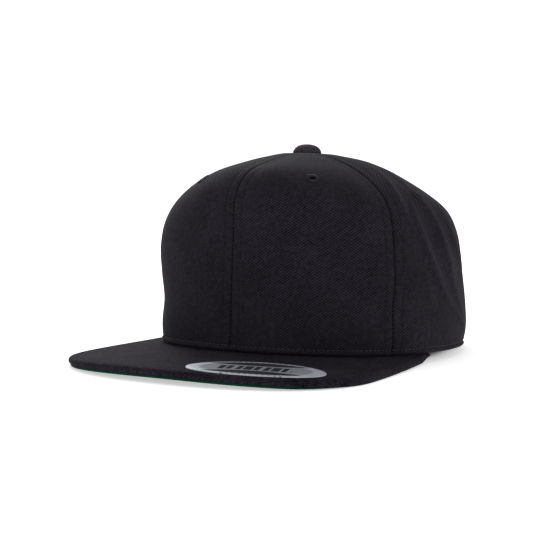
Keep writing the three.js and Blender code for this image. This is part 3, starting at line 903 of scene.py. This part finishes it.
# Plan point between the inner edge, under the crown, and the outer edge; back is how far a point
# stays behind the outer edge, less where the peak is short
def peakPlan(side, share, inset, behind):
    angle = side * peak["attachAngle"] * radian
    inner = np.stack([np.sin(angle) * crown["halfWidth"], -np.cos(angle) * crown["front"]], 1)
    length = np.linalg.norm(inner, axis=1)[:, None]
    inner = inner * (length - peak["allowance"]) / length
    outer = peakEdge(side)
    reach = np.linalg.norm(outer - inner, axis=1)
    inset = inset + behind * np.minimum(reach / 40, 1)
    return inner + (outer - inner) * (share * (1 - inset / reach))[:, None]


# Cross section from the inner edge over the top, round the edge and back, as rows of share from the
# inner to the outer edge, inset, distance behind the edge and depth
def peakSection(drop, thickness, inset, roll, rows):
    section = [(share, inset + roll, 8, drop) for share in np.linspace(0, 1, rows)]
    section += [(1, inset + roll, 8 - step * 0.5, drop) for step in range(1, 17)]
    for turn in np.linspace(80, -80, 9):
        across, down = 1 - math.cos(turn * radian), 1 - math.sin(turn * radian)
        section.append((1, inset + roll * across, 0, drop + thickness / 2 * down))
    section += [(share, inset + roll, 0, drop + thickness) for share in np.linspace(1, 0, 9)]
    return np.array(section + section[:1])


def makePeakLayer(name, node, slot, finish, drop, thickness, inset, roll, rows, welt):
    section = peakSection(drop, thickness, inset, roll, rows)
    columns = 220
    piece, i, j = addGrid(name, columns, len(section) - 1)
    side = 2 * i / columns - 1
    share, insets, behind, depth = section[j].T
    plan = peakPlan(side, share, insets, behind)
    # A shallow groove behind the turned edge, and the slight wave of cloth over the board
    top = depth == drop
    groove = (0.25 * bump(behind - 2.6, 0.7) - 0.1 * bump(behind - 1, 1.0)) * welt
    groove = np.where(top & (share == 1), groove, 0)
    wave = np.where(top, 0.06 * np.sin(plan[:, 0] / 9 + 1) * np.sin(plan[:, 1] / 11), 0)
    # Both layers thin out towards the ends of the seam, and the lining at the corners as well
    taper = 0.5 + 0.5 * smooth((1 - np.abs(side)) / 0.06)
    below = np.maximum(depth - peak["thickness"], 0)
    depth = np.minimum(depth, peak["thickness"]) + below * (1 - 0.8 * smooth((np.abs(side) - 0.3) / 0.2))
    # The edge hangs a little lower at the wearer's left
    sag = np.where(depth > peak["roll"], peak["sideSag"] * smooth((side - 0.3) / 0.25), 0)
    height = peakTop(plan[:, 0], plan[:, 1]) - (depth + sag) * taper - groove + wave
    setPoints(piece, toWorld(np.stack([plan[:, 0], plan[:, 1], height], 1)))
    over = np.where(insets < inset + roll - 0.001, depth - drop, 0)
    middle = np.array([0, -crown["front"] * 0.6])
    outward = (plan - middle) / np.linalg.norm(plan - middle, axis=1)[:, None]
    setMap(piece, plan + outward * over[:, None])
    pickOnly(piece)
    bpy.ops.object.mode_set(mode="EDIT")
    bpy.ops.mesh.select_all(action="SELECT")
    bpy.ops.mesh.remove_doubles(threshold=0.000002)
    bpy.ops.mesh.select_all(action="DESELECT")
    bpy.ops.mesh.select_non_manifold(extend=False)
    bpy.ops.mesh.edge_face_add()
    bpy.ops.mesh.select_all(action="SELECT")
    bpy.ops.mesh.normals_make_consistent(inside=False)
    bpy.ops.object.mode_set(mode="OBJECT")
    dress(piece, slot, finish, node, angle=50)


makePeakLayer("peak_cover", "peak", "crown_cloth", peakTwill, 0, peak["thickness"], 0, peak["roll"], 44, 1)
makePeakLayer("peak_lining", "peak_underside", "under_cloth", shadedUnderTwill, peak["thickness"] + 0.1,
              peak["underThickness"], peak["underInset"], peak["underRoll"], 40, 0)
print("peak made")


def makeSticker():
    columns = 120
    rows = [(share, 1) for share in np.linspace(0, 0.985, 14)] + [(0.995, 0.9), (1, 0.6), (1, 0)]
    rows = np.array(rows + [(0.5, 0), (0, 0)])
    piece, i, j = addGrid("oval_sticker", columns, len(rows) - 1)
    turn = 2 * math.pi * i / columns
    reach, rise = rows[j].T
    along = reach * sticker["halfLength"] * np.cos(turn)
    across = reach * sticker["halfWidth"] * np.sin(turn)
    lean = sticker["turn"] * radian
    sideways = peak["halfWidth"] * sticker["sideShare"]
    forward = crown["front"] + peak["length"] * sticker["forwardShare"]
    x = along * math.cos(lean) - across * math.sin(lean) + sideways
    y = along * math.sin(lean) + across * math.cos(lean) - forward
    tall = sticker["thickness"] + crown["clearance"] - sticker["lift"]
    height = peakTop(x, y) + sticker["lift"] + rise * tall
    setPoints(piece, toWorld(np.stack([x, y, height], 1)))
    setMap(piece, np.stack([along, across], 1))
    inEditMode(piece, mergeDoubles(), outwardNormals)
    dress(piece, "sticker_foil", foil, "peak_sticker", angle=50)


makeSticker()
print("sticker made")

band = {"inset": 2.6, "low": 1.0, "high": 30.0, "thickness": 1.1, "endGap": 3, "overlap": 12,
        "row": 3.2, "pitch": 3.2}


def makeBand():
    gap = crown["openingHalfWidth"] + band["overlap"] + band["endGap"]
    end = 180 - math.asin(gap / crown["halfWidth"]) / radian
    columns, rows = 300, 26
    piece, i, j = addGrid("sweatband_cloth", columns, rows)
    angle = -end + 2 * end * i / columns
    height = band["low"] + (band["high"] - band["low"]) * j / rows
    level = levelAt(height)
    edge = np.minimum(height - band["low"], band["high"] - height)
    soft = 0.16 * np.sin(angle / 2.7 + 0.6 * np.sin(height / 6)) * smooth(edge / 8)
    roll = 0.25 * bump(edge, 1.2) - 0.2 * bump(height - band["low"] - band["row"], 0.8)
    spots = crownPoint(angle, level, band["inset"] + 0.2 + soft + roll, False)
    setPoints(piece, toWorld(spots))
    setMap(piece, np.stack([angle * radian * crown["halfWidth"], height], 1))
    applyModifier(piece, "SOLIDIFY", thickness=(band["thickness"] - 0.2) / 1000, offset=-1, use_rim=True)
    dress(piece, "band_cloth", bandCloth, "sweatband")
    angle = np.linspace(-end + 1, end - 1, 1200)
    level = np.full(1200, float(levelAt(band["low"] + band["row"])))
    inner = crownPoint(angle, level, band["inset"] + band["thickness"] - 0.1, False)
    places = rowPlaces(inner, -outwardOf(angle, level), band["pitch"])
    dress(repeatModel("band_stitches", stitchModel(), places), "thread", threadFinish)


makeBand()
print("sweatband made")

strap = {"low": 3, "height": 20, "thickness": 1.2, "outer": 1.5, "overlap": 12, "tipShare": 0.3,
         "stud": 2.3, "studHeight": 1.0, "studAngle": 6.06, "studs": 5, "hole": 2.55, "spareHoles": 2}


# Angles across the back and the length along the strap from its middle to each
def strapLine():
    angles = np.linspace(140, 220, 801)
    level = np.full(801, float(levelAt(strap["low"] + strap["height"] / 2)))
    line = form(angles, level)
    lengths = np.concatenate([[0], np.cumsum(np.linalg.norm(np.diff(line, axis=0), axis=1))])
    return angles, lengths - np.interp(180, angles, lengths)


# Lays flat points, with x along the strap and z out of it, round the back of the crown
def bendStrap(flat, inset):
    angles, lengths = strapLine()
    angle = np.interp(flat[:, 0], lengths, angles)
    level = levelAt(strap["low"] + strap["height"] / 2 + flat[:, 1])
    base = form(angle, level)
    return base + outwardOf(angle, level) * (flat[:, 2] - inset)[:, None]


def makeTape(name, start, end, inset, tipped, holes):
    columns = int((end - start) / 1.6)
    piece, i, j = addGrid(name, columns, 8)
    x = start + (end - start) * i / columns
    tip = strap["height"] * 0.42
    rounded = np.sqrt(np.maximum(1 - (np.maximum(x - end + tip, 0) / tip) ** 2.2, 0.012))
    squeeze = np.where(tipped & (x > end - tip), rounded, 1)
    y = (j / 8 - 0.5) * strap["height"] * squeeze
    setPoints(piece, np.stack([x, y, 0 * x], 1))
    applyModifier(piece, "SOLIDIFY", thickness=strap["thickness"], offset=-1, use_rim=True)
    for place in holes:
        deselectAll()
        bpy.ops.mesh.primitive_cylinder_add(vertices=28, radius=strap["hole"], depth=4,
                                            location=(place, 0, 0))
        drill = bpy.context.object
        placeInMesh(drill)
        applyModifier(piece, "BOOLEAN", operation="DIFFERENCE", object=drill, solver="EXACT")
        bpy.data.objects.remove(drill)
    applyModifier(piece, "BEVEL", width=0.22, segments=2, limit_method="ANGLE", angle_limit=50 * radian)
    setPoints(piece, toWorld(bendStrap(getPoints(piece), inset)))
    return piece


def makeStrap():
    angles, lengths = strapLine()
    reach = math.asin((crown["openingHalfWidth"] + strap["overlap"]) / crown["halfWidth"]) / radian
    turns = [180 + (k - 2) * strap["studAngle"] for k in range(-strap["spareHoles"], strap["studs"])]
    places = {angle: float(np.interp(angle, angles, lengths)) for angle in turns}
    tip = 180 + reach * strap["tipShare"]
    ends = (180 - reach, 180 + reach, tip)
    start, end, tipAt = [float(np.interp(turn, angles, lengths)) for turn in ends]
    holes = [place for angle, place in places.items() if angle < tip - 1]
    parts = [makeTape("strap_outer", start, tipAt, strap["outer"], True, holes),
             makeTape("strap_inner", start, end, strap["outer"] + strap["thickness"] - 0.02, False, [])]
    for angle, place in places.items():
        if angle < 180 - 2.5 * strap["studAngle"]:
            continue
        under = strap["outer"] + strap["thickness"]
        tall = strap["studHeight"] + (strap["thickness"] if angle < tip - 1 else 0)
        deselectAll()
        bpy.ops.mesh.primitive_cylinder_add(vertices=24, radius=strap["stud"], depth=tall + 0.4,
                                            location=(place, 0, tall / 2 - 0.2))
        stud = bpy.context.object
        placeInMesh(stud)
        points = getPoints(stud)
        top = points[:, 2] > 0
        points[top, :2] = (points[top, :2] - [place, 0]) * 0.88 + [place, 0]
        setPoints(stud, points)
        applyModifier(stud, "BEVEL", width=0.3, segments=3, limit_method="ANGLE", angle_limit=50 * radian)
        setPoints(stud, toWorld(bendStrap(getPoints(stud), under)))
        parts.append(stud)
    piece = joinPieces("snap_strap_tapes", parts)
    dress(piece, "strap_plastic", blackPlastic, "snap_strap")


makeStrap()
print("strap made")

# In metres; the hollow is the crown's outline on the floor
studio = {"floorRadius": 4.0, "curve": 1.4, "hollowHalfWidth": 0.081, "hollowHalfLength": 0.094,
          "hollowBack": 0.032, "world": 0.6}


def makeBackdrop():
    deselectAll()
    bpy.ops.mesh.primitive_circle_add(vertices=96, radius=studio["floorRadius"], fill_type="NGON",
                                      location=(0, 0, 0))
    floor = bpy.context.object
    floor.name = "backdrop"
    pickOnly(floor)
    bpy.ops.object.mode_set(mode="EDIT")
    bpy.ops.mesh.select_all(action="SELECT")
    bpy.ops.mesh.region_to_loop()
    reach, height = studio["floorRadius"], 0
    for step in range(1, 11):
        turn = step / 10 * math.pi / 2
        wide = studio["floorRadius"] + studio["curve"] * math.sin(turn)
        tall = studio["curve"] * (1 - math.cos(turn))
        bpy.ops.mesh.extrude_edges_move(TRANSFORM_OT_translate={"value": (0, 0, tall - height)})
        bpy.ops.transform.resize(value=(wide / reach, wide / reach, 1))
        reach, height = wide, tall
    bpy.ops.object.mode_set(mode="OBJECT")
    bpy.ops.object.shade_smooth()
    finish = Finish("backdrop_paint", **{"Specular IOR Level": 0.0, "Emission Strength": 0.5})
    place = finish.node("ShaderNodeTexCoord", output=3)
    faint = finish.noise(place, 3.0, 2.0)
    # The floor inside the crown gives no light of its own
    x, y, _ = finish.axes(place)
    across, along = x / studio["hollowHalfWidth"], (y - studio["hollowBack"]) / studio["hollowHalfLength"]
    away = (across ** 2.0 + along ** 2.0) ** 0.5
    glow = finish.blend(away.step(0.85, 1.0), (0, 0, 0, 1), (1, 1, 1, 1))
    feed(finish.tree, finish.shader.inputs["Emission Color"], glow)
    colour = finish.blend(faint, (0.9, 0.9, 0.9, 1), (0.92, 0.92, 0.92, 1))
    floor.data.materials.append(finish.finish(colour, 0.9))


makeBackdrop()


def makeLight(name, place, aim, size, power):
    lamp = bpy.data.lights.new(name, "AREA")
    lamp.shape = "DISK"
    lamp.size = size
    lamp.energy = power
    thing = bpy.data.objects.new(name, lamp)
    thing.location = place
    thing.rotation_euler = (Vector(aim) - Vector(place)).to_track_quat("-Z", "Y").to_euler()
    bpy.context.scene.collection.objects.link(thing)


makeLight("back_light", (-1.3, 1.3, 1.25), (0, 0, 0.05), 1.1, 29)
makeLight("top_light", (-0.2, 0.35, 1.8), (0, 0, 0.05), 1.0, 6.5)

world = bpy.data.worlds.new("studio")
world.use_nodes = True
world.node_tree.nodes["Background"].inputs["Color"].default_value = (1, 1, 1, 1)
world.node_tree.nodes["Background"].inputs["Strength"].default_value = studio["world"]
bpy.context.scene.world = world
bpy.context.scene.view_settings.view_transform = "Standard"


def makeCamera():
    azimuth, elevation = view["azimuth"] * radian, view["elevation"] * radian
    level = math.cos(elevation)
    back = Vector((math.sin(azimuth) * level, -math.cos(azimuth) * level, math.sin(elevation)))
    right = Vector((math.cos(azimuth), math.sin(azimuth), 0))
    upward = back.cross(right)
    origin = Vector((0, stance["back"], stance["lift"])) / 1000
    target = origin + right * view["right"] / 1000 + upward * view["up"] / 1000
    lens = bpy.data.cameras.new("camera")
    lens.sensor_width = 36
    lens.lens = view["scale"] * view["distance"] * 1000 / view["image"] * 36
    camera = bpy.data.objects.new("camera", lens)
    camera.location = target + back * view["distance"]
    camera.rotation_euler = back.to_track_quat("Z", "Y").to_euler()
    bpy.context.scene.collection.objects.link(camera)
    bpy.context.scene.camera = camera


makeCamera()
print("floor, light and camera made")

deselectAll()
